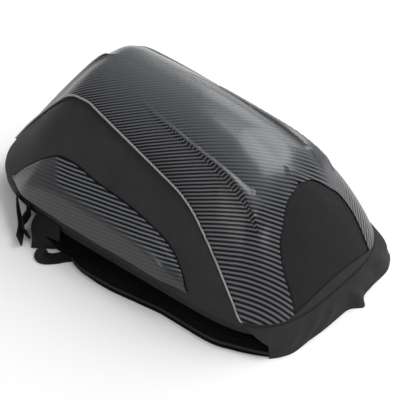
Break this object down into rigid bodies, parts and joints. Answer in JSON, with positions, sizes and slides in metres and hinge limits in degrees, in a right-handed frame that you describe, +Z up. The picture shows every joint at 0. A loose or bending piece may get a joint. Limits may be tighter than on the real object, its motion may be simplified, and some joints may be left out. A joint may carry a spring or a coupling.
{
  "type": "hard shell backpack",
  "caption": "Backpack with a moulded carbon-look shell over fabric sides, resting on its padded back and shoulder straps.",
  "frame": {"origin": "on the floor, under the middle of the pack's box", "axes": "+X towards the top end of the pack, +Y towards the wearer's left side, +Z up, away from the wearer's back"},
  "size_m": [0.5346, 0.376, 0.2375],
  "materials": {
    "carbon_film": "satin, ribbed carbon look",
    "coated_fabric": "coated, matt",
    "padded_mesh": "spacer mesh, matt",
    "reflective_piping": "reflective, pale grey",
    "webbing": "woven"
  },
  "bodies": {
    "root": {"shell": "carbon_film", "nose_panel": "coated_fabric", "side_panel_right": "coated_fabric", "side_panel_left": "coated_fabric", "side_inset_right": "carbon_film", "side_inset_left": "carbon_film", "piping_right": "reflective_piping", "piping_left": "reflective_piping", "gusset": "coated_fabric", "back_panel": "padded_mesh", "lumbar_pad": "padded_mesh", "shoulder_strap_right": "padded_mesh", "shoulder_strap_left": "padded_mesh", "yoke": "coated_fabric", "strap_webbing_right": "webbing", "strap_webbing_left": "webbing", "corner_webbing_right": "webbing", "corner_webbing_left": "webbing", "tail_webbing_right": "webbing", "tail_webbing_left": "webbing", "side_flap_right": "coated_fabric", "side_flap_left": "coated_fabric"}
  },
  "joints": []
}
